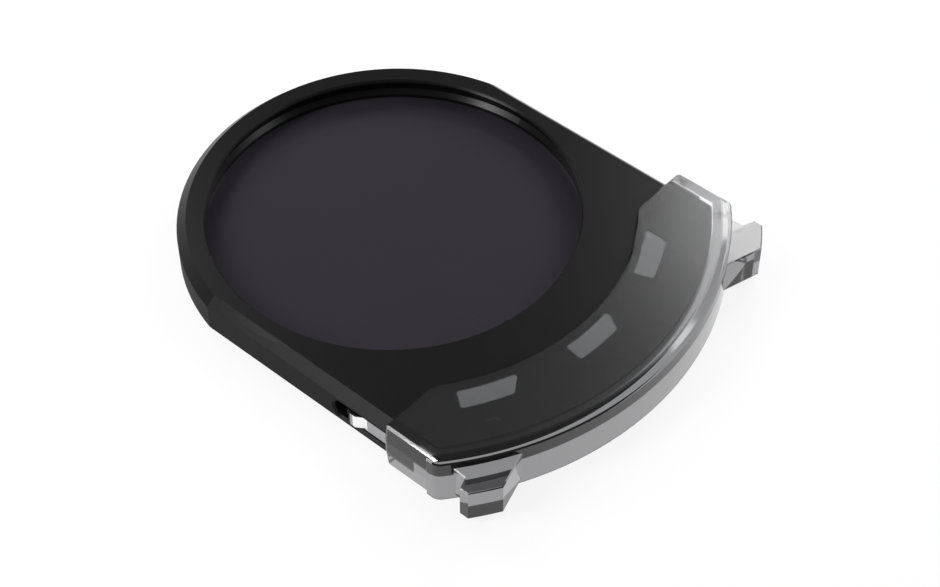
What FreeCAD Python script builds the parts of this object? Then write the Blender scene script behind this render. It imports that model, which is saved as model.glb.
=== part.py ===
"""Drop-in neutral density filter for a lens mount adapter.

A black metal frame carries a round piece of tinted glass. Its tongue ends in a clear moulded
handle with two finger tabs, and a formed leaf spring in each side of the frame snaps into the
adapter. Millimetres; the origin is the centre of the round opening on the frame's top face,
+Z towards the top face's side, and the handle lies towards -Y.
"""
import FreeCAD, Part
import os
import Sketcher

# Driving dimensions. A depth is measured down from the frame's top face, a distance along the
# filter from the centre of the opening towards the handle.
SIZES = {
    # round opening, from the top edge down to the glass seat
    "opening_radius": 20.0,
    "lip_step": 0.2,
    "lip_bevel": 0.23,
    "lip_depth": 0.44,
    "undercut_width": 0.94,
    "undercut_depth": 1.98,
    "ledge_step": 0.46,
    "throat_depth": 0.44,
    "seat_width": 0.94,
    # glass and the ring behind it
    "glass_thickness": 0.8,
    "glass_bevel": 0.1,
    "ring_thickness": 0.35,
    "ring_width": 0.85,
    "notch_width": 1.2,
    "notch_depth": 0.2,
    # frame
    "frame_wall": 1.65,
    "side_flat": 0.61,
    "frame_thickness": 4.1,
    "frame_chamfer": 1.03,
    "shoulder_step": 0.74,
    "tongue_thickness": 2.1,
    "tongue_rim": 4.48,
    # windows through the tongue
    "window_inset": 1.0,
    "window_width": 2.32,
    "window_square_angle": 7.76,
    "window_inner_angle": 6.7,
    "window_outer_angle": 3.5,
    "window_spacing": 26.7,
    "window_corner": 0.4,
    # slot in each side of the frame
    "slot_reach": 7.45,
    "slot_top": 1.57,
    "slot_height": 2.05,
    "slot_depth": 1.6,
    "slot_bevel": 0.22,
    # leaf springs
    "spring_thickness": 0.2,
    "spring_room": 0.22,
    "spring_inset": 0.24,
    "crest_rise": 0.42,
    "tip_drop": 0.47,
    "valley_drop": 0.46,
    "tip_reach": 5.82,
    "tip_length": 0.78,
    "crest_length": 0.66,
    "ramp_length": 0.73,
    "step_length": 0.45,
    # handle
    "handle_shelf": 2.65,
    "handle_hook": 5.7,
    "shoulder_reach": 3.5,
    "handle_side": 0.86,
    "handle_front": 1.7,
    "handle_top": 1.0,
    "handle_foot": 0.65,
    "parting_depth": 0.95,
    "parting_height": 1.6,
    "handle_draft": 0.2,
    "handle_corner": 1.4,
    "end_corner": 0.6,
    "handle_edge": 0.2,
    "rim_width": 0.74,
    "rim_drop": 0.25,
    "bumper_cheek": 1.24,
    "bumper_side": 0.1,
    "bumper_front": 0.4,
    "bumper_inset": 1.2,
    "bumper_rise": 0.05,
    "bumper_corner": 1.2,
    "bumper_edge": 0.15,
    "mark_radius": 0.75,
    "mark_across": 15.9,
    "mark_setback": 2.2,
    "mark_depth": 0.04,
    # finger tabs
    "tab_rise": 0.95,
    "tab_reach": 3.2,
    "tab_root_inset": 1.3,
    "tab_notch_inset": 1.2,
    "tab_notch_reach": 1.49,
    "tab_overhang": 0.06,
    "tab_tip_reach": 0.48,
    "tab_end_width": 2.82,
    "tab_slope_width": 4.24,
    "tab_edge": 0.12,
    # clearance between the handle and the metal in it, and round the glass
    "gap": 0.05,
    "glass_gap": 0.1,
}

# Places that follow from the driving dimensions.
PLACES = {
    "lip_radius": "opening_radius - lip_step",
    "undercut_radius": "lip_radius + undercut_width",
    "ledge_radius": "lip_radius + ledge_step",
    "seat_radius": "ledge_radius + seat_width",
    "undercut_floor": "undercut_depth + undercut_radius - ledge_radius",
    "ledge_depth": "undercut_floor + throat_depth",
    "bore_overrun": "frame_thickness + 1",
    "glass_radius": "seat_radius - glass_gap",
    "glass_bottom": "ledge_depth + glass_thickness",
    "ring_bottom": "glass_bottom + ring_thickness",
    "ring_radius": "seat_radius - gap",
    "ring_inner_radius": "ring_radius - ring_width",
    "notch_half_width": "notch_width / 2",
    "notch_floor": "ring_bottom - notch_depth",
    "notch_inner": "ring_inner_radius - 1",
    "notch_outer": "seat_radius + 1",
    "frame_radius": "seat_radius + frame_wall",
    "frame_half_width": "frame_radius - side_flat",
    "crease_at": "sqrt(frame_radius ^ 2 - frame_half_width ^ 2)",
    "handle_inner_radius": "frame_radius + handle_shelf",
    "handle_start": "handle_inner_radius - handle_hook",
    "shoulder_end": "handle_start + shoulder_reach",
    "step_at": "handle_start - gap",
    "step_radius": "handle_inner_radius - gap",
    "step_corner": "sqrt(step_radius ^ 2 - step_at ^ 2)",
    "window_inner_radius": "handle_inner_radius + window_inset",
    "window_outer_radius": "window_inner_radius + window_width",
    "tongue_half_width": "frame_half_width - shoulder_step",
    "tongue_radius": "window_outer_radius + tongue_rim",
    "tongue_corner_at": "sqrt(tongue_radius ^ 2 - tongue_half_width ^ 2)",
    "window_square_inner_x": "window_inner_radius * sin(window_square_angle * 1 deg)",
    "window_square_inner_y": "window_inner_radius * cos(window_square_angle * 1 deg)",
    "window_slant_inner_x": "window_inner_radius * sin(window_inner_angle * 1 deg)",
    "window_slant_inner_y": "window_inner_radius * cos(window_inner_angle * 1 deg)",
    "window_slant_outer_x": "window_outer_radius * sin(window_outer_angle * 1 deg)",
    "window_slant_outer_y": "window_outer_radius * cos(window_outer_angle * 1 deg)",
    "window_square_outer_x": "window_outer_radius * sin(window_square_angle * 1 deg)",
    "window_square_outer_y": "window_outer_radius * cos(window_square_angle * 1 deg)",
    "window_sweep": "2 * window_spacing",
    "post_inner_radius": "window_inner_radius + gap",
    "post_outer_radius": "window_outer_radius - gap",
    "post_square_inner_x": "window_square_inner_x - gap",
    "post_square_inner_y": "sqrt(post_inner_radius ^ 2 - post_square_inner_x ^ 2)",
    "post_slant_inner_x": "window_slant_inner_x - 2 * gap",
    "post_slant_inner_y": "sqrt(post_inner_radius ^ 2 - post_slant_inner_x ^ 2)",
    "post_slant_outer_x": "window_slant_outer_x - 2 * gap",
    "post_slant_outer_y": "sqrt(post_outer_radius ^ 2 - post_slant_outer_x ^ 2)",
    "post_square_outer_x": "window_square_outer_x - gap",
    "post_square_outer_y": "sqrt(post_outer_radius ^ 2 - post_square_outer_x ^ 2)",
    "post_corner": "window_corner - gap",
    "slot_bottom": "slot_top + slot_height",
    "slot_middle": "(slot_top + slot_bottom) / 2",
    "slot_centre_at": "handle_start - slot_reach + slot_height / 2",
    "spring_top": "slot_top + spring_room",
    "spring_bottom": "slot_bottom - spring_room",
    "spring_height": "spring_bottom - spring_top",
    "spring_flat": "frame_half_width - spring_inset",
    "spring_crest": "spring_flat + crest_rise",
    "spring_tip": "spring_crest - tip_drop",
    "spring_valley": "spring_crest - valley_drop",
    "spring_flat_in": "spring_flat - spring_thickness",
    "spring_crest_in": "spring_crest - spring_thickness",
    "spring_tip_in": "spring_tip - spring_thickness",
    "spring_valley_in": "spring_valley - spring_thickness",
    "spring_tip_at": "handle_start - tip_reach",
    "crest_start_at": "spring_tip_at + tip_length",
    "crest_end_at": "crest_start_at + crest_length",
    "valley_at": "crest_end_at + ramp_length",
    "flat_start_at": "valley_at + step_length",
    "handle_half_width": "frame_half_width + handle_side",
    "handle_radius": "tongue_radius + handle_front",
    "handle_bottom": "frame_thickness + handle_foot",
    "handle_height": "handle_top + handle_bottom",
    "handle_corner_x": "sqrt(handle_inner_radius ^ 2 - handle_start ^ 2)",
    "handle_outer_at": "sqrt(handle_radius ^ 2 - handle_half_width ^ 2)",
    "upper_draft_height": "handle_top + parting_depth",
    "lower_draft_height": "handle_bottom - parting_depth - parting_height",
    "drafted_half_width": "handle_half_width - handle_draft",
    "bumper_half_width": "handle_half_width + bumper_side",
    "bumper_radius": "handle_radius + bumper_front",
    "bumper_top": "handle_top - rim_drop",
    "bumper_bottom": "handle_bottom - bumper_rise",
    "bumper_height": "bumper_top + bumper_bottom",
    "bumper_outer_at": "sqrt(bumper_radius ^ 2 - bumper_half_width ^ 2)",
    "bumper_start": "bumper_outer_at - bumper_cheek",
    "bumper_inner_x": "bumper_half_width - bumper_inset",
    "mark_at": "bumper_start + mark_setback",
    "mark_level": "handle_top - mark_depth",
    "tab_height": "handle_bottom - tab_rise",
    "tab_radius": "bumper_radius + tab_reach",
    "tab_root_half_width": "bumper_half_width - tab_root_inset",
    "tab_notch_half_width": "bumper_half_width - tab_notch_inset",
    "tab_half_width": "bumper_half_width + tab_overhang",
    "tab_outer_half_width": "tab_half_width - tab_end_width",
    "tab_inner_half_width": "tab_outer_half_width - tab_slope_width",
    "tab_root_at": "sqrt(bumper_radius ^ 2 - tab_root_half_width ^ 2)",
    "tab_notch_at": "tab_root_at + tab_notch_reach",
    "tab_tip_at": "tab_notch_at + tab_tip_reach",
    "tab_root_in": "tab_root_half_width - bumper_inset",
    "tab_root_in_at": "tab_root_at - bumper_inset",
    "tab_inner_at": "sqrt(bumper_radius ^ 2 - tab_inner_half_width ^ 2)",
    "tab_inner_in": "tab_inner_half_width - bumper_inset",
    "tab_inner_in_at": "tab_inner_at - bumper_inset",
    "tab_tip_end_at": "sqrt(tab_radius ^ 2 - tab_half_width ^ 2)",
    "tab_outer_at": "sqrt(tab_radius ^ 2 - tab_outer_half_width ^ 2)",
    "cavity_start_at": "handle_start - 1",
    "cavity_length": "tongue_thickness + 2 * gap",
    "cavity_bottom": "tongue_thickness + gap",
    "cavity_neck": "frame_half_width - slot_depth + gap",
    "cavity_widens_at": "shoulder_end - gap",
    "shoulder_cavity_end": "shoulder_end + gap",
    "cavity_half_width": "tongue_half_width + gap",
    "cavity_corner_at": "sqrt((tongue_radius + gap) ^ 2 - cavity_half_width ^ 2)",
    "shoulder_inner": "frame_half_width - slot_depth - 1",
    "shoulder_top_x": "frame_half_width - frame_chamfer + gap",
    "shoulder_side_x": "frame_half_width + gap",
    "shoulder_side_top": "frame_chamfer - gap",
    "shoulder_bottom": "slot_top + gap",
    "shoulder_length": "shoulder_cavity_end - cavity_start_at",
    "tail_top": "spring_top - gap",
    "tail_height": "spring_height + 2 * gap",
    "tail_inner": "spring_flat_in - gap",
    "tail_outer": "spring_flat + gap",
}

doc = FreeCAD.newDocument("drop_in_filter")
sheet = doc.addObject("Spreadsheet::Sheet", "Sizes")
for row, (alias, size) in enumerate(SIZES.items(), start=1):
    sheet.set("A%d" % row, alias)
    sheet.set("B%d" % row, str(size))
    sheet.setAlias("B%d" % row, alias)
for row, (alias, formula) in enumerate(PLACES.items(), start=1):
    sheet.set("D%d" % row, alias)
    sheet.set("E%d" % row, "=" + formula)
    sheet.setAlias("E%d" % row, alias)
doc.recompute()


def number(term):
    """The sheet's number for a name, or its negative where the name has a minus sign."""
    if term == "0":
        return 0.0
    if term.startswith("-"):
        return -float(sheet.get(term[1:]))
    return float(sheet.get(term))


def linked(term):
    """The same term as a formula that reads the sheet."""
    if term.startswith("-"):
        return "-Sizes." + term[1:]
    return "Sizes." + term


def new_body(label):
    body = doc.addObject("PartDesign::Body", label)
    body.Label = label
    return body


def origin_plane(body, role):
    return next(plane for plane in body.Origin.OriginFeatures if plane.Role == role)


def new_sketch(body, name, role="XY_Plane", level=None):
    """An empty sketch on one of the body's own planes, shifted along its normal by level."""
    sketch = body.newObject("Sketcher::SketchObject", name)
    sketch.AttachmentSupport = [(origin_plane(body, role), "")]
    sketch.MapMode = "FlatFace"
    if level:
        sketch.setExpression(".AttachmentOffset.Base.z", linked(level))
    return sketch


def pin(sketch, geometry, point, axis, term):
    """Hold one coordinate of a point on its axis or at a size from the sheet."""
    if term == "0":
        line = {"X": -2, "Y": -1}[axis]
        sketch.addConstraint(Sketcher.Constraint("PointOnObject", geometry, point, line))
        return
    index = sketch.addConstraint(
        Sketcher.Constraint("Distance" + axis, -1, 1, geometry, point, number(term)))
    sketch.setExpression("Constraints[%d]" % index, linked(term))


def draw_outline(sketch, corners, arcs=None):
    """Draw a closed outline through the corners.

    Each corner is a pair of sheet terms. arcs maps the number of an edge to +1 where it runs
    counter-clockwise about the origin and to -1 where it runs clockwise; the rest are lines.
    """
    arcs = arcs or {}
    points = [FreeCAD.Vector(number(across), number(along), 0) for across, along in corners]
    starts = []
    ends = []
    for edge, point in enumerate(points):
        target = points[(edge + 1) % len(points)]
        turn = arcs.get(edge)
        if turn is None:
            geometry = sketch.addGeometry(Part.LineSegment(point, target))
            first, last = 1, 2
        else:
            low, high = (point, target) if turn > 0 else (target, point)
            circle = Part.Circle(FreeCAD.Vector(), FreeCAD.Vector(0, 0, 1), point.Length)
            curve = Part.ArcOfCircle(circle, circle.parameter(low), circle.parameter(high))
            geometry = sketch.addGeometry(curve)
            sketch.addConstraint(Sketcher.Constraint("Coincident", geometry, 3, -1, 1))
            first, last = (1, 2) if turn > 0 else (2, 1)
        starts.append((geometry, first))
        ends.append((geometry, last))
    for edge, (geometry, point) in enumerate(starts):
        across, along = corners[edge]
        ends_arc = (edge - 1) % len(points) in arcs
        beside = abs(points[edge].x) > abs(points[edge].y)
        if not (ends_arc and beside):
            pin(sketch, geometry, point, "X", across)
        if not ends_arc or beside:
            pin(sketch, geometry, point, "Y", along)
        sketch.addConstraint(Sketcher.Constraint("Coincident", *ends[edge - 1], geometry, point))


def draw_circle(sketch, radius, across="0", along="0"):
    centre = FreeCAD.Vector(number(across), number(along), 0)
    circle = Part.Circle(centre, FreeCAD.Vector(0, 0, 1), number(radius))
    geometry = sketch.addGeometry(circle)
    pin(sketch, geometry, 3, "X", across)
    pin(sketch, geometry, 3, "Y", along)
    index = sketch.addConstraint(Sketcher.Constraint("Radius", geometry, number(radius)))
    sketch.setExpression("Constraints[%d]" % index, linked(radius))


def flipped(corners):
    """The same corners on the other side of the middle plane."""
    return [
        (across[1:] if across.startswith("-") else "-" + across, along)
        for across, along in corners]


def raised(body, kind, name, profile, length):
    """A pad or pocket of the profile whose length is a size from the sheet."""
    solid = body.newObject("PartDesign::" + kind, name)
    solid.Profile = profile
    solid.setExpression("Length", linked(length))
    profile.Visibility = False
    doc.recompute()
    return solid


def turned(body, kind, name, profile):
    """A revolution or groove of the profile about the opening's axis."""
    solid = body.newObject("PartDesign::" + kind, name)
    solid.Profile = profile
    solid.ReferenceAxis = (profile, ["V_Axis"])
    solid.Angle = 360
    profile.Visibility = False
    doc.recompute()
    return solid


def dressed(body, kind, name, sizes, wanted):
    """A fillet or chamfer on the edges of the body for which wanted is true."""
    base = body.Tip
    names = [
        "Edge%d" % place for place, edge in enumerate(base.Shape.Edges, start=1) if wanted(edge)]
    dressing = body.newObject("PartDesign::" + kind, name)
    dressing.Base = (base, names)
    if len(sizes) > 1:
        dressing.ChamferType = "Two distances"
    for field, term in sizes.items():
        dressing.setExpression(field, linked(term))
    doc.recompute()
    return dressing


def repeat_windows(body, name, original):
    """Repeat a feature made at the first of the three windows at the other two."""
    pattern = body.newObject("PartDesign::PolarPattern", name)
    pattern.Originals = [original]
    pattern.Axis = (original.Profile[0], ["N_Axis"])
    pattern.setExpression("Angle", "Sizes.window_sweep")
    pattern.Occurrences = 3
    body.Tip = pattern
    doc.recompute()


def repeat_mirrored(body, name, original):
    """Repeat a feature on the other side of the middle plane."""
    pattern = body.newObject("PartDesign::Mirrored", name)
    pattern.Originals = [original]
    pattern.MirrorPlane = (origin_plane(body, "YZ_Plane"), [""])
    body.Tip = pattern
    doc.recompute()


def near(value, target, slack=0.005):
    return abs(value - target) < slack


def middle(edge):
    return edge.valueAt((edge.FirstParameter + edge.LastParameter) / 2)


def from_axis(point):
    return FreeCAD.Vector(point.x, point.y, 0).Length


def is_upright(edge):
    first, last = edge.Vertexes[0].Point, edge.Vertexes[-1].Point
    return near(first.x, last.x) and near(first.y, last.y) and not near(first.z, last.z)


def is_level(edge, height):
    return near(middle(edge).z, height) and all(near(end.Z, height) for end in edge.Vertexes)


def is_on_radius(edge, radius):
    return near(from_axis(middle(edge)), radius) and all(
        near(from_axis(end.Point), radius) for end in edge.Vertexes)


def is_on_side(edge, half_width):
    return near(abs(middle(edge).x), half_width) and all(
        near(abs(end.X), half_width) for end in edge.Vertexes)


def is_upright_at(edge, across, along):
    point = middle(edge)
    return is_upright(edge) and near(abs(point.x), across) and near(point.y, -along)


def draw_window(sketch, kind):
    """One window, or the post that fills it, with one end square and the other slanted."""
    sketch.setExpression(".AttachmentOffset.Rotation.Angle", "-Sizes.window_spacing")
    draw_outline(
        sketch,
        [
            ("-%s_square_inner_x" % kind, "-%s_square_inner_y" % kind),
            ("%s_slant_inner_x" % kind, "-%s_slant_inner_y" % kind),
            ("%s_slant_outer_x" % kind, "-%s_slant_outer_y" % kind),
            ("-%s_square_outer_x" % kind, "-%s_square_outer_y" % kind),
        ],
        arcs={0: 1, 2: -1},
    )


def round_window_corners(body, name, kind, radius):
    """Round the upright edges where a window's or post's sides meet its two arcs."""
    inner, outer = number(kind + "_inner_radius"), number(kind + "_outer_radius")
    dressed(
        body, "Fillet", name, {"Radius": radius},
        lambda edge: is_upright(edge) and (is_on_radius(edge, inner) or is_on_radius(edge, outer)))


def draw_slot(sketch):
    """The side slot: two long sides, a round end, and a square end with the shoulder's."""
    centre = FreeCAD.Vector(-number("slot_centre_at"), -number("slot_middle"), 0)
    half = FreeCAD.Vector(0, number("slot_middle") - number("slot_top"), 0)
    far = FreeCAD.Vector(-number("shoulder_end"), -number("slot_middle"), 0)
    circle = Part.Circle(centre, FreeCAD.Vector(0, 0, 1), half.Length)
    bottom, top = circle.parameter(centre - half), circle.parameter(centre + half)
    round_end = sketch.addGeometry(Part.ArcOfCircle(circle, bottom, top))
    upper = sketch.addGeometry(Part.LineSegment(centre + half, far + half))
    square_end = sketch.addGeometry(Part.LineSegment(far + half, far - half))
    lower = sketch.addGeometry(Part.LineSegment(far - half, centre - half))
    pin(sketch, round_end, 3, "X", "-slot_centre_at")
    pin(sketch, round_end, 3, "Y", "-slot_middle")
    pin(sketch, upper, 2, "X", "-shoulder_end")
    pin(sketch, upper, 2, "Y", "-slot_top")
    sketch.addConstraint(Sketcher.Constraint("Tangent", round_end, 2, upper, 1))
    sketch.addConstraint(Sketcher.Constraint("Tangent", round_end, 1, lower, 2))
    sketch.addConstraint(Sketcher.Constraint("Coincident", upper, 2, square_end, 1))
    sketch.addConstraint(Sketcher.Constraint("Coincident", square_end, 2, lower, 1))
    sketch.addConstraint(Sketcher.Constraint("Horizontal", upper))
    sketch.addConstraint(Sketcher.Constraint("Horizontal", lower))
    sketch.addConstraint(Sketcher.Constraint("Vertical", square_end))


def make_frame():
    """The metal frame: a round-ended plate with a stepped opening, and its thinner tongue."""
    body = new_body("filter_frame")

    plate = new_sketch(body, "plate_outline", level="-frame_thickness")
    draw_outline(
        plate,
        [
            ("frame_half_width", "crease_at"),
            ("-frame_half_width", "crease_at"),
            ("-frame_half_width", "-step_at"),
            ("-step_corner", "-step_at"),
            ("step_corner", "-step_at"),
            ("frame_half_width", "-step_at"),
        ],
        arcs={0: 1, 3: 1},
    )
    raised(body, "Pad", "plate", plate, "frame_thickness")

    shoulder = new_sketch(body, "shoulder_outline", level="-tongue_thickness")
    draw_outline(
        shoulder,
        [
            ("-frame_half_width", "-step_at"),
            ("-frame_half_width", "-shoulder_end"),
            ("frame_half_width", "-shoulder_end"),
            ("frame_half_width", "-step_at"),
        ],
    )
    raised(body, "Pad", "shoulder", shoulder, "tongue_thickness")

    radius, side = number("frame_radius"), number("frame_half_width")
    dressed(
        body, "Chamfer", "side_chamfers", {"Size": "frame_chamfer"},
        lambda edge: is_level(edge, 0) and is_on_side(edge, side))
    dressed(
        body, "Chamfer", "round_chamfer", {"Size": "frame_chamfer"},
        lambda edge: is_level(edge, 0) and is_on_radius(edge, radius))

    tongue = new_sketch(body, "tongue_outline", level="-tongue_thickness")
    draw_outline(
        tongue,
        [
            ("-tongue_half_width", "-shoulder_end"),
            ("-tongue_half_width", "-tongue_corner_at"),
            ("tongue_half_width", "-tongue_corner_at"),
            ("tongue_half_width", "-shoulder_end"),
        ],
        arcs={1: 1},
    )
    raised(body, "Pad", "tongue", tongue, "tongue_thickness")

    opening = new_sketch(body, "opening_section", "XZ_Plane")
    draw_outline(
        opening,
        [
            ("0", "0"),
            ("opening_radius", "0"),
            ("lip_radius", "-lip_bevel"),
            ("lip_radius", "-lip_depth"),
            ("undercut_radius", "-lip_depth"),
            ("undercut_radius", "-undercut_depth"),
            ("ledge_radius", "-undercut_floor"),
            ("ledge_radius", "-ledge_depth"),
            ("seat_radius", "-ledge_depth"),
            ("seat_radius", "-bore_overrun"),
            ("0", "-bore_overrun"),
        ],
    )
    turned(body, "Groove", "opening", opening)

    window = new_sketch(body, "window_outline")
    draw_window(window, "window")
    first_window = raised(body, "Pocket", "window", window, "tongue_thickness")
    repeat_windows(body, "windows", first_window)
    round_window_corners(body, "window_corners", "window", "window_corner")

    slot = new_sketch(body, "slot_outline", "YZ_Plane", level="frame_half_width")
    draw_slot(slot)
    first_slot = raised(body, "Pocket", "slot", slot, "slot_depth")
    repeat_mirrored(body, "slots", first_slot)
    top, bottom, end = number("slot_top"), number("slot_bottom"), number("slot_centre_at")
    dressed(
        body, "Chamfer", "slot_bevels", {"Size": "slot_bevel"},
        lambda edge: is_on_side(edge, side) and near(middle(edge).y, -(end - (bottom - top) / 2)))
    return body


def make_glass():
    """The tinted glass, dropped in from the back onto the frame's ledge."""
    body = new_body("nd_glass")
    disc = new_sketch(body, "disc_outline", level="-glass_bottom")
    draw_circle(disc, "glass_radius")
    raised(body, "Pad", "disc", disc, "glass_thickness")
    radius = number("glass_radius")
    dressed(
        body, "Chamfer", "edge_bevels", {"Size": "glass_bevel"},
        lambda edge: is_on_radius(edge, radius) and not is_upright(edge))
    return body


def make_ring():
    """The ring that holds the glass, with two notches for a spanner in its back face."""
    body = new_body("retaining_ring")
    section = new_sketch(body, "ring_section", "XZ_Plane")
    draw_outline(
        section,
        [
            ("ring_inner_radius", "-glass_bottom"),
            ("ring_radius", "-glass_bottom"),
            ("ring_radius", "-ring_bottom"),
            ("ring_inner_radius", "-ring_bottom"),
        ],
    )
    turned(body, "Revolution", "ring", section)

    notch = new_sketch(body, "notch_outline", level="-notch_floor")
    draw_outline(
        notch,
        [
            ("notch_inner", "-notch_half_width"),
            ("notch_outer", "-notch_half_width"),
            ("notch_outer", "notch_half_width"),
            ("notch_inner", "notch_half_width"),
        ],
    )
    first_notch = raised(body, "Pocket", "notch", notch, "ring_thickness")
    repeat_mirrored(body, "notches", first_notch)
    return body


def make_spring(label, side):
    """A flat spring bent out to a crest; its tail is held in the handle. side is -1 or +1."""
    body = new_body(label)
    strip = new_sketch(body, "strip_outline", level="-spring_bottom")
    corners = [
        ("spring_tip", "-spring_tip_at"),
        ("spring_crest", "-crest_start_at"),
        ("spring_crest", "-crest_end_at"),
        ("spring_valley", "-valley_at"),
        ("spring_flat", "-flat_start_at"),
        ("spring_flat", "-shoulder_end"),
        ("spring_flat_in", "-shoulder_end"),
        ("spring_flat_in", "-flat_start_at"),
        ("spring_valley_in", "-valley_at"),
        ("spring_crest_in", "-crest_end_at"),
        ("spring_crest_in", "-crest_start_at"),
        ("spring_tip_in", "-spring_tip_at"),
    ]
    draw_outline(strip, corners if side > 0 else flipped(corners))
    raised(body, "Pad", "strip", strip, "spring_height")
    return body


def make_handle():
    """The clear moulding round the tongue, with a raised bumper and two finger tabs."""
    body = new_body("clear_handle")

    core = new_sketch(body, "core_outline", level="-handle_bottom")
    draw_outline(
        core,
        [
            ("-handle_half_width", "-handle_start"),
            ("-handle_corner_x", "-handle_start"),
            ("handle_corner_x", "-handle_start"),
            ("handle_half_width", "-handle_start"),
            ("handle_half_width", "-handle_outer_at"),
            ("-handle_half_width", "-handle_outer_at"),
        ],
        arcs={1: 1, 4: -1},
    )
    raised(body, "Pad", "core", core, "handle_height")
    corner, start, side = (
        number("handle_corner_x"), number("handle_start"), number("handle_half_width"))
    dressed(
        body, "Fillet", "inner_corners", {"Radius": "handle_corner"},
        lambda edge: is_upright_at(edge, corner, start))
    dressed(
        body, "Fillet", "end_corners", {"Radius": "end_corner"},
        lambda edge: is_upright_at(edge, side, start))
    top, bottom = number("handle_top"), -number("handle_bottom")
    dressed(
        body, "Chamfer", "upper_draft", {"Size": "handle_draft", "Size2": "upper_draft_height"},
        lambda edge: is_level(edge, top) and is_on_side(edge, side))
    dressed(
        body, "Chamfer", "lower_draft", {"Size": "handle_draft", "Size2": "lower_draft_height"},
        lambda edge: is_level(edge, bottom) and is_on_side(edge, side))
    radius, drafted = number("handle_radius"), number("drafted_half_width")
    dressed(
        body, "Chamfer", "rim_slope", {"Size": "rim_width", "Size2": "rim_drop"},
        lambda edge: is_level(edge, top) and is_on_radius(edge, radius))
    dressed(
        body, "Chamfer", "upper_edges", {"Size": "handle_edge"},
        lambda edge: is_level(edge, top) and is_on_side(edge, drafted))
    dressed(
        body, "Chamfer", "lower_edges", {"Size": "handle_edge"},
        lambda edge: is_level(edge, bottom) and is_on_side(edge, drafted))

    bumper = new_sketch(body, "bumper_outline", level="-bumper_bottom")
    draw_outline(
        bumper,
        [
            ("-bumper_half_width", "-bumper_start"),
            ("-bumper_inner_x", "-bumper_start"),
            ("bumper_inner_x", "-bumper_start"),
            ("bumper_half_width", "-bumper_start"),
            ("bumper_half_width", "-bumper_outer_at"),
            ("-bumper_half_width", "-bumper_outer_at"),
        ],
        arcs={1: 1, 4: -1},
    )
    raised(body, "Pad", "bumper", bumper, "bumper_height")
    outer_x, outer_at = number("bumper_half_width"), number("bumper_outer_at")
    dressed(
        body, "Fillet", "bumper_corners", {"Radius": "bumper_corner"},
        lambda edge: is_upright_at(edge, outer_x, outer_at))
    rim, foot, front = number("bumper_top"), -number("bumper_bottom"), number("bumper_radius")
    dressed(
        body, "Chamfer", "bumper_edges", {"Size": "bumper_edge"},
        lambda edge: is_on_radius(edge, front) and (is_level(edge, rim) or is_level(edge, foot)))

    tab = new_sketch(body, "tab_outline", level="-tab_height")
    draw_outline(
        tab,
        [
            ("tab_root_in", "-tab_root_in_at"),
            ("tab_root_half_width", "-tab_root_at"),
            ("tab_notch_half_width", "-tab_notch_at"),
            ("tab_half_width", "-tab_tip_at"),
            ("tab_half_width", "-tab_tip_end_at"),
            ("tab_outer_half_width", "-tab_outer_at"),
            ("tab_inner_half_width", "-tab_inner_at"),
            ("tab_inner_in", "-tab_inner_in_at"),
        ],
        arcs={4: -1},
    )
    first_tab = raised(body, "Pad", "tab", tab, "tab_height")
    repeat_mirrored(body, "tabs", first_tab)
    dressed(
        body, "Chamfer", "tab_edges", {"Size": "tab_edge"},
        lambda edge: is_level(edge, 0) and from_axis(middle(edge)) > front + 0.1)

    mark = new_sketch(body, "mark_outline", level="mark_level")
    draw_circle(mark, "mark_radius", "mark_across", "-mark_at")
    first_mark = raised(body, "Pocket", "mark", mark, "handle_top")
    first_mark.Reversed = True
    repeat_mirrored(body, "marks", first_mark)

    cavity = new_sketch(body, "cavity_outline", level="gap")
    draw_outline(
        cavity,
        [
            ("-cavity_neck", "-cavity_start_at"),
            ("-cavity_neck", "-cavity_widens_at"),
            ("-cavity_half_width", "-cavity_widens_at"),
            ("-cavity_half_width", "-cavity_corner_at"),
            ("cavity_half_width", "-cavity_corner_at"),
            ("cavity_half_width", "-cavity_widens_at"),
            ("cavity_neck", "-cavity_widens_at"),
            ("cavity_neck", "-cavity_start_at"),
        ],
        arcs={3: 1},
    )
    raised(body, "Pocket", "tongue_cavity", cavity, "cavity_length")

    shoulder = new_sketch(body, "shoulder_section", "XZ_Plane", level="shoulder_cavity_end")
    draw_outline(
        shoulder,
        [
            ("shoulder_inner", "gap"),
            ("shoulder_top_x", "gap"),
            ("shoulder_side_x", "-shoulder_side_top"),
            ("shoulder_side_x", "-shoulder_bottom"),
            ("shoulder_inner", "-shoulder_bottom"),
        ],
    )
    first_shoulder = raised(body, "Pocket", "shoulder_cavity", shoulder, "shoulder_length")
    repeat_mirrored(body, "shoulder_cavities", first_shoulder)

    tail = new_sketch(body, "tail_outline", level="-tail_top")
    draw_outline(
        tail,
        [
            ("tail_inner", "-cavity_start_at"),
            ("tail_outer", "-cavity_start_at"),
            ("tail_outer", "-shoulder_cavity_end"),
            ("tail_inner", "-shoulder_cavity_end"),
        ],
    )
    first_tail = raised(body, "Pocket", "tail_slit", tail, "tail_height")
    repeat_mirrored(body, "tail_slits", first_tail)

    post = new_sketch(body, "post_outline", level="-cavity_bottom")
    draw_window(post, "post")
    first_post = raised(body, "Pad", "post", post, "cavity_length")
    repeat_windows(body, "posts", first_post)
    round_window_corners(body, "post_corners", "post", "post_corner")
    return body


pieces = [
    make_frame(),
    make_glass(),
    make_ring(),
    make_handle(),
    make_spring("leaf_spring_left", -1),
    make_spring("leaf_spring_right", 1),
]
doc.recompute()

for item in doc.Objects:
    if "Invalid" in item.State or "Error" in item.State:
        raise RuntimeError("%s failed: %s" % (item.Name, item.State))
for piece in pieces:
    if piece.Shape.isNull() or not piece.Shape.isValid():
        raise RuntimeError("%s has no valid shape" % piece.Label)

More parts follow.
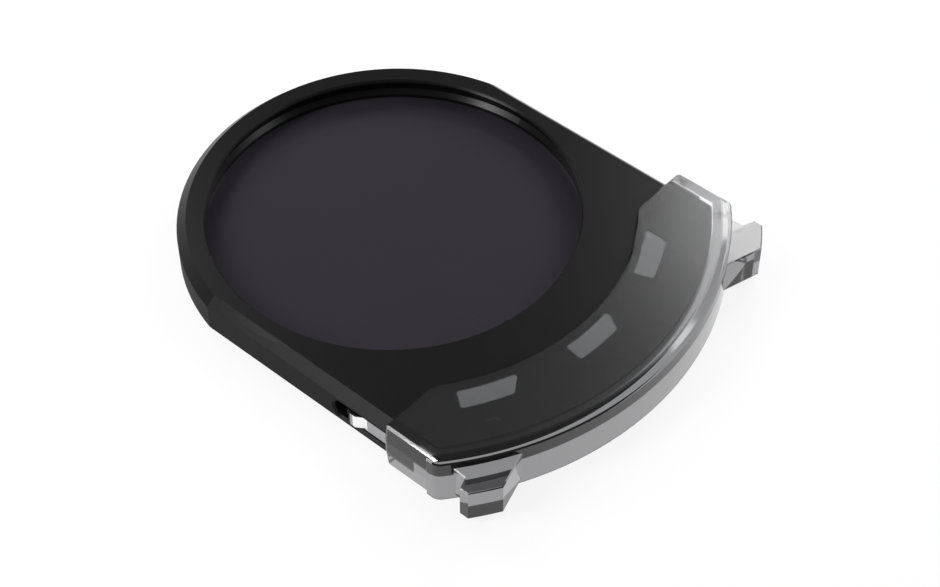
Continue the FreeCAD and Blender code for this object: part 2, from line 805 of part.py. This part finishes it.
os.makedirs("parts", exist_ok=True)
for piece in pieces:
    piece.Shape.exportStep("parts/%s.step" % piece.Label)
    print(piece.Label, len(piece.Shape.Solids), round(piece.Shape.Volume, 2))
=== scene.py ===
from math import pi, radians

import bmesh
import bpy
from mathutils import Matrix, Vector


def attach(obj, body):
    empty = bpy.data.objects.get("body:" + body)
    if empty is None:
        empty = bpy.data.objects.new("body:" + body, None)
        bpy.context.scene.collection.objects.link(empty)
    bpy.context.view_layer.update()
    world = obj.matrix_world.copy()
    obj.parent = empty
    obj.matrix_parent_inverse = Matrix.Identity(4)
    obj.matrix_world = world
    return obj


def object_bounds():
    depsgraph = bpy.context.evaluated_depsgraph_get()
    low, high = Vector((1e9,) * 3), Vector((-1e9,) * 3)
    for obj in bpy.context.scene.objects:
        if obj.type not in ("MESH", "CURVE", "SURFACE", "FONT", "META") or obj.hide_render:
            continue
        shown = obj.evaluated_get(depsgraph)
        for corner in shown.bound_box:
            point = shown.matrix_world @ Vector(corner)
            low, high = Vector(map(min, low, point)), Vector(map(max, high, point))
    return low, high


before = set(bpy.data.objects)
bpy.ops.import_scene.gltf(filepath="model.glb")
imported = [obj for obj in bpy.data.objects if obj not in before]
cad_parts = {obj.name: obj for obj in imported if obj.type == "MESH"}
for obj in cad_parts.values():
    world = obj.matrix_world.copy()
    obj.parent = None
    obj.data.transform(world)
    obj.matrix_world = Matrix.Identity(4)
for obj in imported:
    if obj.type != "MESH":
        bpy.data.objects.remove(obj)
cad_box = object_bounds()
scene = bpy.context.scene


# The camera looks down on the filter from in front of the handle's left end, through a
# moderately long lens. Its place and angles were solved from the outline in the photograph.
MM = 0.001
LENS_MM = 81.16
SENSOR_MM = 36.0
CLIP_START_MM = 5
CAMERA_MM = (-112.833, -110.074, 157.931)
CAMERA_TILT = 42.5489
CAMERA_ROLL = 0.1367
CAMERA_TURN = -48.7662

camera = bpy.data.objects.new("camera", bpy.data.cameras.new("camera"))
scene.collection.objects.link(camera)
camera.data.lens = LENS_MM
camera.data.sensor_fit = "HORIZONTAL"
camera.data.sensor_width = SENSOR_MM
camera.data.clip_start = CLIP_START_MM * MM
camera.location = Vector(CAMERA_MM) * MM
camera.rotation_euler = (radians(CAMERA_TILT), radians(CAMERA_ROLL), radians(CAMERA_TURN))
scene.camera = camera
scene.view_settings.view_transform = "Standard"


# The studio: a white paper sweep that runs up into a white backdrop, with a dim ceiling above
# it. Soft boxes stand high behind, at the right, at the left and in front, and a small bright
# strip at the left draws the sharpest lines on the edges.
def linear(colour):
    """An sRGB hex colour as linear red, green, blue and full alpha."""
    parts = [int(colour[place:place + 2], 16) / 255 for place in (0, 2, 4)]
    curve = [
        part / 12.92 if part <= 0.04045 else ((part + 0.055) / 1.055) ** 2.4
        for part in parts]
    return (*curve, 1.0)


def add_node(tree, kind, links=None, **settings):
    """One node. A setting is an input's name with spaces as underscores, or the node's own."""
    node = tree.nodes.new(kind)
    for name, value in settings.items():
        if hasattr(node, name):
            setattr(node, name, value)
        else:
            node.inputs[name.replace("_", " ")].default_value = value
    for socket, source in (links or {}).items():
        tree.links.new(source, node.inputs[socket])
    return node


def new_material(name):
    """An empty node material and its tree."""
    material = bpy.data.materials.new(name)
    material.use_nodes = True
    material.node_tree.nodes.clear()
    return material, material.node_tree


def seen_directly(tree):
    """1 for a camera, glossy or transmitted ray, which see the background, and 0 for the rest."""
    path = add_node(tree, "ShaderNodeLightPath")
    either = add_node(
        tree, "ShaderNodeMath", operation="MAXIMUM",
        links={0: path.outputs["Is Camera Ray"], 1: path.outputs["Is Glossy Ray"]})
    seen = add_node(
        tree, "ShaderNodeMath", operation="MAXIMUM",
        links={0: either.outputs[0], 1: path.outputs["Is Transmission Ray"]})
    return seen.outputs[0]


BACKDROP = "ffffff"
CEILING = "7e7e80"
BACKDROP_TOP = 0.12
CEILING_START = 0.45
WORLD_LIGHT = 0.3

world = bpy.data.worlds.new("studio")
scene.world = world
world.use_nodes = True
tree = world.node_tree
tree.nodes.clear()
direction = add_node(tree, "ShaderNodeTexCoord")
height = add_node(
    tree, "ShaderNodeSeparateXYZ", links={0: direction.outputs["Generated"]})
rise = add_node(
    tree, "ShaderNodeMapRange", From_Min=BACKDROP_TOP, From_Max=CEILING_START,
    links={"Value": height.outputs["Z"]})
room = add_node(tree, "ShaderNodeMix", data_type="RGBA", links={0: rise.outputs[0]})
room.inputs[6].default_value = linear(BACKDROP)
room.inputs[7].default_value = linear(CEILING)
background = add_node(tree, "ShaderNodeBackground", Strength=1.0, links={0: room.outputs[2]})
fill = add_node(tree, "ShaderNodeBackground", Color=linear(BACKDROP), Strength=WORLD_LIGHT)
sky = add_node(
    tree, "ShaderNodeMixShader",
    links={0: seen_directly(tree), 1: fill.outputs[0], 2: background.outputs[0]})
add_node(tree, "ShaderNodeOutputWorld", links={0: sky.outputs[0]})

# The paper gives a little under the plastic, so the two touch with no air between them.
FLOOR_RADIUS = 0.6
FLOOR_SIDES = 64
FLOOR_GIVE_MM = 0.01

floor_mesh = bpy.data.meshes.new("floor")
shape = bmesh.new()
bmesh.ops.create_circle(shape, cap_ends=True, segments=FLOOR_SIDES, radius=FLOOR_RADIUS)
shape.to_mesh(floor_mesh)
shape.free()
floor = bpy.data.objects.new("floor", floor_mesh)
floor.location = (0, 0, cad_box[0][2] + FLOOR_GIVE_MM * MM)
scene.collection.objects.link(floor)

# White paper: matt, and lit from below enough to read as white while it keeps a faint shadow.
PAPER = "f4f4f4"
PAPER_GLOW = 0.86

paper, tree = new_material("white_paper_sweep")
matt = add_node(tree, "ShaderNodeBsdfDiffuse", Color=linear(PAPER))
glow = add_node(tree, "ShaderNodeEmission", Color=linear(BACKDROP), Strength=1.0)
share = add_node(
    tree, "ShaderNodeMath", operation="MULTIPLY", links={0: seen_directly(tree)})
share.inputs[1].default_value = PAPER_GLOW
shade = add_node(
    tree, "ShaderNodeMixShader",
    links={0: share.outputs[0], 1: matt.outputs[0], 2: glow.outputs[0]})
add_node(tree, "ShaderNodeOutputMaterial", links={0: shade.outputs[0]})
floor.data.materials.append(paper)

AIM_MM = (0, -5, 0)


def soft_box(name, place_mm, size_mm, brightness):
    """A rectangular lamp that faces the middle of the filter, by how bright its face is."""
    lamp = bpy.data.lights.new(name, "AREA")
    lamp.shape = "RECTANGLE"
    lamp.size, lamp.size_y = size_mm[0] * MM, size_mm[1] * MM
    lamp.energy = brightness * pi * lamp.size * lamp.size_y
    box = bpy.data.objects.new(name, lamp)
    box.location = Vector(place_mm) * MM
    target = Vector(AIM_MM) * MM
    box.rotation_euler = (target - box.location).to_track_quat("-Z", "Y").to_euler()
    scene.collection.objects.link(box)


soft_box("back_soft_box", (10, 122, 114), (70, 70), 7.0)
soft_box("right_soft_box", (150, 10, 98), (80, 84), 8.5)
soft_box("left_soft_box", (-150, 64, 140), (60, 150), 7.0)
soft_box("left_strip", (-140, 46, 131), (26, 40), 18.0)
soft_box("front_soft_box", (104, -96, 128), (90, 45), 6.5)


# The frame, an aluminium plate milled all over, blasted and anodised black. Its flat faces are
# satin with a fine grain, its upright walls duller, and the bored steps round the glass keep a
# closer, smoother cut.
def give(node, material):
    """Puts one material on a part from the drawing and leaves its mesh as it is."""
    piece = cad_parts[node]
    piece.data.materials.clear()
    piece.data.materials.append(material)


# The grit leaves pits of about 0.05 mm, too fine to show here, so they are drawn coarser. The
# dye takes a shade lighter or darker in patches a few millimetres wide.
ANODISED = "0f0f10"
ANODISED_WORN = "131314"
GRAIN_MM = 0.12
GRAIN_DEPTH_MM = 0.01
PATCH_MM = 6.0
BLASTED_ROUGHNESS = 0.32
WALL_ROUGHNESS = 0.62
WALL_SLOPE = 0.3
BORED_ROUGHNESS = 0.22
BORE_MM, BORE_START_MM = 21.8, -0.1

anodised, tree = new_material("blasted_black_anodised_aluminium")
place = add_node(tree, "ShaderNodeTexCoord")
flat_place = add_node(
    tree, "ShaderNodeVectorMath", operation="MULTIPLY", links={0: place.outputs["Object"]})
flat_place.inputs[1].default_value = (1, 1, 0)
from_axis = add_node(
    tree, "ShaderNodeVectorMath", operation="LENGTH", links={0: flat_place.outputs[0]})
bored = add_node(
    tree, "ShaderNodeMath", operation="LESS_THAN", links={0: from_axis.outputs["Value"]})
bored.inputs[1].default_value = BORE_MM * MM
levels = add_node(tree, "ShaderNodeSeparateXYZ", links={0: place.outputs["Object"]})
below = add_node(
    tree, "ShaderNodeMath", operation="LESS_THAN", links={0: levels.outputs["Z"]})
below.inputs[1].default_value = BORE_START_MM * MM
in_bore = add_node(
    tree, "ShaderNodeMath", operation="MULTIPLY",
    links={0: bored.outputs[0], 1: below.outputs[0]})
facing = add_node(tree, "ShaderNodeSeparateXYZ", links={0: place.outputs["Normal"]})
upright = add_node(
    tree, "ShaderNodeMath", operation="ABSOLUTE", links={0: facing.outputs["Z"]})
wall = add_node(tree, "ShaderNodeMath", operation="LESS_THAN", links={0: upright.outputs[0]})
wall.inputs[1].default_value = WALL_SLOPE
blasted = add_node(
    tree, "ShaderNodeMapRange", To_Min=BLASTED_ROUGHNESS, To_Max=WALL_ROUGHNESS,
    links={"Value": wall.outputs[0]})
roughness = add_node(
    tree, "ShaderNodeMapRange", To_Max=BORED_ROUGHNESS,
    links={"Value": in_bore.outputs[0], "To Min": blasted.outputs[0]})
grain = add_node(
    tree, "ShaderNodeTexNoise", Scale=1 / (GRAIN_MM * MM), Detail=2.0,
    links={"Vector": place.outputs["Object"]})
patches = add_node(
    tree, "ShaderNodeTexNoise", Scale=1 / (PATCH_MM * MM), Detail=3.0,
    links={"Vector": place.outputs["Object"]})
dye = add_node(tree, "ShaderNodeMix", data_type="RGBA", links={0: patches.outputs[0]})
dye.inputs[6].default_value = linear(ANODISED)
dye.inputs[7].default_value = linear(ANODISED_WORN)
bump = add_node(
    tree, "ShaderNodeBump", Strength=0.12, Distance=GRAIN_DEPTH_MM * MM,
    links={"Height": grain.outputs[0]})
metal = add_node(
    tree, "ShaderNodeBsdfPrincipled",
    links={"Base Color": dye.outputs[2], "Roughness": roughness.outputs[0],
           "Normal": bump.outputs[0]})
metal.inputs["Specular IOR Level"].default_value = 0.13
add_node(tree, "ShaderNodeOutputMaterial", links={0: metal.outputs[0]})
give("filter_frame", anodised)


# The retaining ring, thin black anodised aluminium, turned on a lathe and screwed in behind the
# glass with a two-pin spanner. The tool's feed leaves fine circles, 0.08 mm apart.
TURNING_MM = 0.08
TURNING_DEPTH_MM = 0.01
RINGS_PER_SCALE = 20

turned, tree = new_material("turned_black_anodised_ring")
place = add_node(tree, "ShaderNodeTexCoord")
circles = add_node(
    tree, "ShaderNodeTexWave", wave_type="RINGS", rings_direction="Z",
    Scale=1 / (TURNING_MM * MM * RINGS_PER_SCALE), Distortion=0.4,
    links={"Vector": place.outputs["Object"]})
bump = add_node(
    tree, "ShaderNodeBump", Strength=0.2, Distance=TURNING_DEPTH_MM * MM,
    links={"Height": circles.outputs[1]})
metal = add_node(
    tree, "ShaderNodeBsdfPrincipled", Base_Color=linear(ANODISED), Roughness=0.36,
    links={"Normal": bump.outputs[0]})
add_node(tree, "ShaderNodeOutputMaterial", links={0: metal.outputs[0]})
give("retaining_ring", turned)


# The glass, dark neutral grey all through, ground flat, polished and given a coating on both
# faces that kills nearly all reflection and leaves a faint violet cast. Wiping leaves the
# gloss and the cast a little uneven, over several millimetres.
TINT = "302e34"
TINT_DEEP = "2e2c32"
COATING = "26222b"
CAST_MM = 9.0
CLEAN_ROUGHNESS, WIPED_ROUGHNESS = 0.1, 0.14

tinted, tree = new_material("coated_grey_glass")
place = add_node(tree, "ShaderNodeTexCoord")
cast = add_node(
    tree, "ShaderNodeTexNoise", Scale=1 / (CAST_MM * MM), Detail=1.0,
    links={"Vector": place.outputs["Object"]})
tint = add_node(tree, "ShaderNodeMix", data_type="RGBA", links={0: cast.outputs[0]})
tint.inputs[6].default_value = linear(TINT)
tint.inputs[7].default_value = linear(TINT_DEEP)
gloss = add_node(
    tree, "ShaderNodeMapRange", To_Min=CLEAN_ROUGHNESS, To_Max=WIPED_ROUGHNESS,
    links={"Value": cast.outputs[0]})
pane = add_node(
    tree, "ShaderNodeBsdfPrincipled", IOR=1.52,
    links={"Base Color": tint.outputs[2], "Roughness": gloss.outputs[0]})
pane.inputs["Transmission Weight"].default_value = 0.05
pane.inputs["Specular Tint"].default_value = linear(COATING)
add_node(tree, "ShaderNodeOutputMaterial", links={0: pane.outputs[0]})
give("nd_glass", tinted)


# The handle, one smoke-clear polycarbonate moulding closed round the metal tongue. Its top is
# satin from a spark-eroded mould and the rest polished, and where it grips the black metal no
# light comes back, so those inner faces are dark.
SMOKE = "525254"
WINDOW_CLEAR = "f4f4f6"
POLISHED_ROUGHNESS = 0.08
SATIN_ROUGHNESS = 0.26
SHELF_MM = 0.93

# The satin's pits are about 0.03 mm across, too fine to show here, so they are drawn coarser.
SATIN_MM = 0.1
SATIN_DEPTH_MM = 0.01

# The space round the tongue, whose faces the tongue fills to within the rind, and the wider,
# deeper space round the frame's shoulders.
CAVITY_HALF_MM, CAVITY_RADIUS_MM = 21.58, 33.38
CAVITY_TOP_MM, CAVITY_FLOOR_MM = 0.06, -2.17
RIND_MM = 0.05
SHOULDER_HALF_MM, SHOULDER_END_MM, SHOULDER_FLOOR_MM = 22.31, -23.37, -4.17

# The narrow bevel along the top of each end, polished, which catches the light in one line.
END_EDGE_MM, END_EDGE_FOOT_MM = 22.66, 0.79
END_EDGE_LEAN = 0.72

clear, tree = new_material("smoke_clear_polycarbonate")
place = add_node(tree, "ShaderNodeTexCoord")
axes = add_node(tree, "ShaderNodeSeparateXYZ", links={0: place.outputs["Object"]})
aside = add_node(tree, "ShaderNodeMath", operation="ABSOLUTE", links={0: axes.outputs["X"]})
flat_place = add_node(
    tree, "ShaderNodeVectorMath", operation="MULTIPLY", links={0: place.outputs["Object"]})
flat_place.inputs[1].default_value = (1, 1, 0)
from_axis = add_node(
    tree, "ShaderNodeVectorMath", operation="LENGTH", links={0: flat_place.outputs[0]})
measures = {
    "x": aside.outputs[0], "y": axes.outputs["Y"], "z": axes.outputs["Z"],
    "r": from_axis.outputs["Value"]}


def region(limits):
    """1 where every measure is under or over its limit in millimetres, and 0 elsewhere."""
    total = None
    for measure, side, limit in limits:
        test = add_node(tree, "ShaderNodeMath", operation=side, links={0: measures[measure]})
        test.inputs[1].default_value = limit * MM
        if total is None:
            total = test
        else:
            total = add_node(
                tree, "ShaderNodeMath", operation="MULTIPLY",
                links={0: total.outputs[0], 1: test.outputs[0]})
    return total.outputs[0]


round_tongue = region((
    ("x", "LESS_THAN", CAVITY_HALF_MM), ("r", "LESS_THAN", CAVITY_RADIUS_MM),
    ("z", "LESS_THAN", CAVITY_TOP_MM), ("z", "GREATER_THAN", CAVITY_FLOOR_MM)))
inside_tongue = region((
    ("x", "LESS_THAN", CAVITY_HALF_MM - RIND_MM),
    ("r", "LESS_THAN", CAVITY_RADIUS_MM - RIND_MM),
    ("z", "LESS_THAN", CAVITY_TOP_MM - RIND_MM),
    ("z", "GREATER_THAN", CAVITY_FLOOR_MM + RIND_MM)))
tongue_faces = add_node(
    tree, "ShaderNodeMath", operation="SUBTRACT", links={0: round_tongue, 1: inside_tongue})
round_shoulder = region((
    ("x", "LESS_THAN", SHOULDER_HALF_MM), ("y", "GREATER_THAN", SHOULDER_END_MM),
    ("z", "LESS_THAN", CAVITY_TOP_MM), ("z", "GREATER_THAN", SHOULDER_FLOOR_MM)))
gripped = add_node(
    tree, "ShaderNodeMath", operation="MAXIMUM",
    links={0: tongue_faces.outputs[0], 1: round_shoulder})
over_tongue = region((
    ("x", "LESS_THAN", CAVITY_HALF_MM), ("r", "LESS_THAN", CAVITY_RADIUS_MM),
    ("z", "GREATER_THAN", SHELF_MM)))
shelf = region((("z", "GREATER_THAN", SHELF_MM),))

body = add_node(tree, "ShaderNodeMix", data_type="RGBA", links={0: over_tongue})
body.inputs[6].default_value = linear(SMOKE)
body.inputs[7].default_value = linear(WINDOW_CLEAR)
roughness = add_node(
    tree, "ShaderNodeMapRange", To_Min=POLISHED_ROUGHNESS, To_Max=SATIN_ROUGHNESS,
    links={"Value": shelf})
satin = add_node(
    tree, "ShaderNodeTexNoise", Scale=1 / (SATIN_MM * MM), Detail=2.0,
    links={"Vector": place.outputs["Object"]})
bump = add_node(
    tree, "ShaderNodeBump", Strength=0.08, Distance=SATIN_DEPTH_MM * MM,
    links={"Height": satin.outputs[0]})
end_edge = region(
    (("x", "GREATER_THAN", END_EDGE_MM), ("z", "GREATER_THAN", END_EDGE_FOOT_MM)))
side = add_node(tree, "ShaderNodeMath", operation="SIGN", links={0: axes.outputs["X"]})
lean = add_node(tree, "ShaderNodeMath", operation="MULTIPLY", links={0: side.outputs[0]})
lean.inputs[1].default_value = END_EDGE_LEAN
tilt = add_node(tree, "ShaderNodeCombineXYZ", Z=1.0, links={"X": lean.outputs[0]})
bevel = add_node(
    tree, "ShaderNodeVectorMath", operation="NORMALIZE", links={0: tilt.outputs[0]})
facing = add_node(
    tree, "ShaderNodeMix", data_type="VECTOR",
    links={0: end_edge, 4: bump.outputs[0], 5: bevel.outputs[0]})
plastic = add_node(
    tree, "ShaderNodeBsdfPrincipled", IOR=1.58,
    links={"Base Color": body.outputs[2], "Roughness": roughness.outputs[0],
           "Normal": facing.outputs[1]})
plastic.inputs["Transmission Weight"].default_value = 1.0
dark = add_node(
    tree, "ShaderNodeBsdfPrincipled", Base_Color=linear(ANODISED), Roughness=0.5)
dark.inputs["Specular IOR Level"].default_value = 0.1
joined = add_node(
    tree, "ShaderNodeMixShader",
    links={0: gripped.outputs[0], 1: plastic.outputs[0], 2: dark.outputs[0]})
add_node(tree, "ShaderNodeOutputMaterial", links={0: joined.outputs[0]})
give("clear_handle", clear)


# The posts of the handle's moulding, which fill the tongue's three windows and lock the handle
# on. Inside each post sits a matt grey core, painted shade that stands in for the shaded floor
# seen through the window, so each window shows as an even grey patch. Each core is a slice of
# the moulding itself, drawn in a little all round.
SHADE_CORE_TOP_MM, SHADE_CORE_FOOT_MM = -0.04, -1.6
SHADE_CORE_INSET_MM = 0.06
WALL_MARGIN_MM = 0.3
MERGE_MM = 0.001
SIDE_SLOPE = 0.5

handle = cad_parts["clear_handle"]
posts = bmesh.new()
posts.from_mesh(handle.data)
for level, upward in ((SHADE_CORE_TOP_MM, True), (SHADE_CORE_FOOT_MM, False)):
    bmesh.ops.bisect_plane(
        posts, geom=posts.verts[:] + posts.edges[:] + posts.faces[:],
        plane_co=(0, 0, level * MM), plane_no=(0, 0, 1), clear_outer=upward,
        clear_inner=not upward)
outside = [
    corner for corner in posts.verts
    if Vector(corner.co[:2]).length > (CAVITY_RADIUS_MM - WALL_MARGIN_MM) * MM
    or abs(corner.co.x) > (CAVITY_HALF_MM - WALL_MARGIN_MM) * MM]
bmesh.ops.delete(posts, geom=outside, context="VERTS")
bmesh.ops.remove_doubles(posts, verts=posts.verts[:], dist=MERGE_MM * MM)
bmesh.ops.holes_fill(
    posts, edges=[edge for edge in posts.edges if edge.is_boundary], sides=0)
bmesh.ops.recalc_face_normals(posts, faces=posts.faces[:])
for corner in posts.verts:
    inward = Vector((0, 0, 0))
    for face in corner.link_faces:
        if abs(face.normal.z) < SIDE_SLOPE:
            inward -= face.normal
    corner.co += inward.normalized() * SHADE_CORE_INSET_MM * MM
for face in posts.faces:
    face.smooth = False
# The painted-shade cores, as one object.
window_shade_mesh = bpy.data.meshes.new("window_shade_core")
posts.to_mesh(window_shade_mesh)
posts.free()
window_shade_core = bpy.data.objects.new("window_shade_core", window_shade_mesh)
scene.collection.objects.link(window_shade_core)

# Painted shade: a soft, even matt grey with faint blotches, in place of the shaded floor seen
# through the windows.
WINDOW_SHADE = "8c8c8d"
WINDOW_SHADE_DEEP = "828283"
SHADE_BLOTCH_MM = 0.9
SHADE_BUMP_DEPTH_MM = 0.01

window_shade_material, tree = new_material("painted_window_shade")
place = add_node(tree, "ShaderNodeTexCoord")
shade_blotches = add_node(
    tree, "ShaderNodeTexNoise", Scale=1 / (SHADE_BLOTCH_MM * MM), Detail=3.0,
    links={"Vector": place.outputs["Object"]})
shade = add_node(tree, "ShaderNodeMix", data_type="RGBA", links={0: shade_blotches.outputs[0]})
shade.inputs[6].default_value = linear(WINDOW_SHADE)
shade.inputs[7].default_value = linear(WINDOW_SHADE_DEEP)
bump = add_node(
    tree, "ShaderNodeBump", Strength=0.1, Distance=SHADE_BUMP_DEPTH_MM * MM,
    links={"Height": shade_blotches.outputs[0]})
shade_surface = add_node(
    tree, "ShaderNodeBsdfPrincipled", Roughness=0.6,
    links={"Base Color": shade.outputs[2], "Normal": bump.outputs[0]})
shade_surface.inputs["Specular IOR Level"].default_value = 0.1
add_node(tree, "ShaderNodeOutputMaterial", links={0: shade_surface.outputs[0]})
window_shade_mesh.materials.append(window_shade_material)
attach(window_shade_core, "root")


# The leaf springs, bright stainless strip cut and bent cold, so fine rolling marks run along it
# from the tail in the handle to the hooked tip. Real marks are a few hundredths of a millimetre
# wide or less, too fine to show here, so they are drawn coarser. A band across the ramp is
# painted near white, a painted highlight.
STEEL = "b2b2b4"
STEEL_DULL = "8e8e90"
# Painted highlight: the near-white colour of the ramp, and the band along the spring it covers.
STEEL_HIGHLIGHT = "fafafa"
STEEL_ROUGHNESS, STEEL_DULL_ROUGHNESS = 0.14, 0.3
ROLLED_LENGTH_MM, ROLLED_WIDTH_MM = 1.6, 0.05
ROLLED_DEPTH_MM = 0.005
HIGHLIGHT_START_MM, HIGHLIGHT_END_MM = -16.65, -15.1

steel, tree = new_material("rolled_stainless_strip")
place = add_node(tree, "ShaderNodeTexCoord")
along = add_node(
    tree, "ShaderNodeVectorMath", operation="MULTIPLY", links={0: place.outputs["Object"]})
along.inputs[1].default_value = (
    1 / (ROLLED_LENGTH_MM * MM), 1 / (ROLLED_LENGTH_MM * MM), 1 / (ROLLED_WIDTH_MM * MM))
marks = add_node(
    tree, "ShaderNodeTexNoise", Scale=1.0, Detail=2.0, links={"Vector": along.outputs[0]})
colour = add_node(tree, "ShaderNodeMix", data_type="RGBA", links={0: marks.outputs[0]})
colour.inputs[6].default_value = linear(STEEL)
colour.inputs[7].default_value = linear(STEEL_DULL)
axes = add_node(tree, "ShaderNodeSeparateXYZ", links={0: place.outputs["Object"]})
past_start = add_node(
    tree, "ShaderNodeMath", operation="GREATER_THAN", links={0: axes.outputs["Y"]})
past_start.inputs[1].default_value = HIGHLIGHT_START_MM * MM
short_of_end = add_node(
    tree, "ShaderNodeMath", operation="LESS_THAN", links={0: axes.outputs["Y"]})
short_of_end.inputs[1].default_value = HIGHLIGHT_END_MM * MM
# The band of the painted highlight, between the two places along the spring.
highlight_band = add_node(
    tree, "ShaderNodeMath", operation="MULTIPLY",
    links={0: past_start.outputs[0], 1: short_of_end.outputs[0]})
bright = add_node(
    tree, "ShaderNodeMix", data_type="RGBA",
    links={0: highlight_band.outputs[0], 6: colour.outputs[2]})
bright.inputs[7].default_value = linear(STEEL_HIGHLIGHT)
roughness = add_node(
    tree, "ShaderNodeMapRange", To_Min=STEEL_ROUGHNESS, To_Max=STEEL_DULL_ROUGHNESS,
    links={"Value": marks.outputs[0]})
bump = add_node(
    tree, "ShaderNodeBump", Strength=0.1, Distance=ROLLED_DEPTH_MM * MM,
    links={"Height": marks.outputs[0]})
strip = add_node(
    tree, "ShaderNodeBsdfPrincipled", Metallic=1.0,
    links={"Base Color": bright.outputs[2], "Roughness": roughness.outputs[0],
           "Normal": bump.outputs[0]})
add_node(tree, "ShaderNodeOutputMaterial", links={0: strip.outputs[0]})
give("leaf_spring_left", steel)
give("leaf_spring_right", steel)
